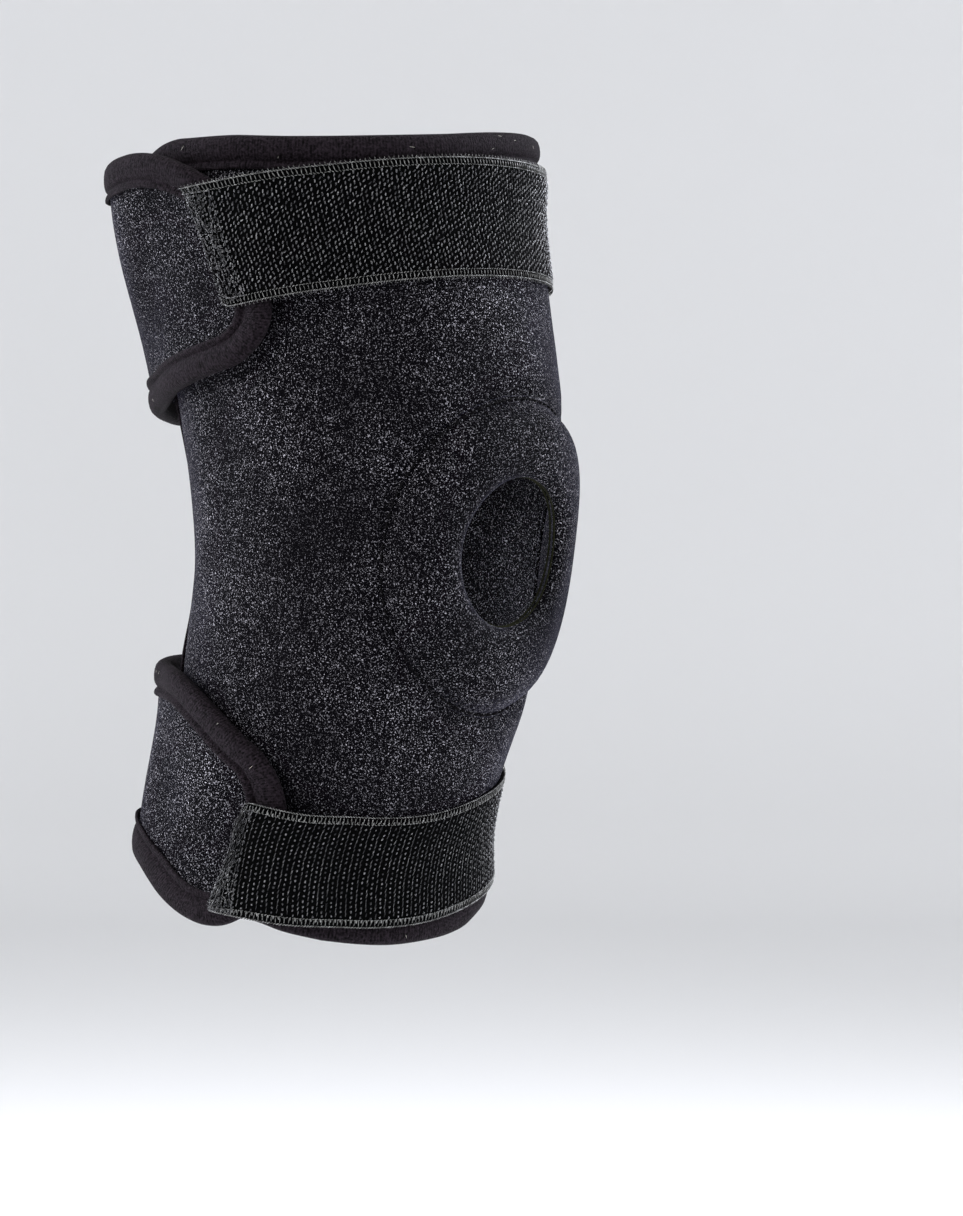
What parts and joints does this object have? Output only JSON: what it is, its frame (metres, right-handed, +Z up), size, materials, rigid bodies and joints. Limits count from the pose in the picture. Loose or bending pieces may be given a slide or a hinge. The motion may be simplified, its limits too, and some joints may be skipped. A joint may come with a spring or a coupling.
{
  "type": "knee sleeve",
  "caption": "Padded wrap-round knee sleeve in its worn form, with a raised ring round an open kneecap hole, a cut-out behind the knee and knitted straps above and below.",
  "frame": {"origin": "middle of the leg hollow at the height of the kneecap opening's centre", "axes": "+Z up along the leg towards the thigh, -Y out through the kneecap opening, -X to the outer side of the leg"},
  "size_m": [0.154, 0.1549, 0.2724],
  "materials": {
    "pile_cloth": "matte looped pile over foam, charcoal black with fine pale specks",
    "binding_knit": "smooth fine-ribbed knit, brownish black, soft sheen",
    "strap_loop": "near-black loop knit in rows with a chained selvedge",
    "hook_tape": "matte black hook tape"
  },
  "bodies": {
    "root": {"body_wrap": "pile_cloth", "patella_ring": "pile_cloth", "edge_binding": "binding_knit", "upper_strap": "strap_loop", "lower_strap": "strap_loop", "upper_hook_tab": "hook_tape", "lower_hook_tab": "hook_tape"}
  },
  "joints": []
}
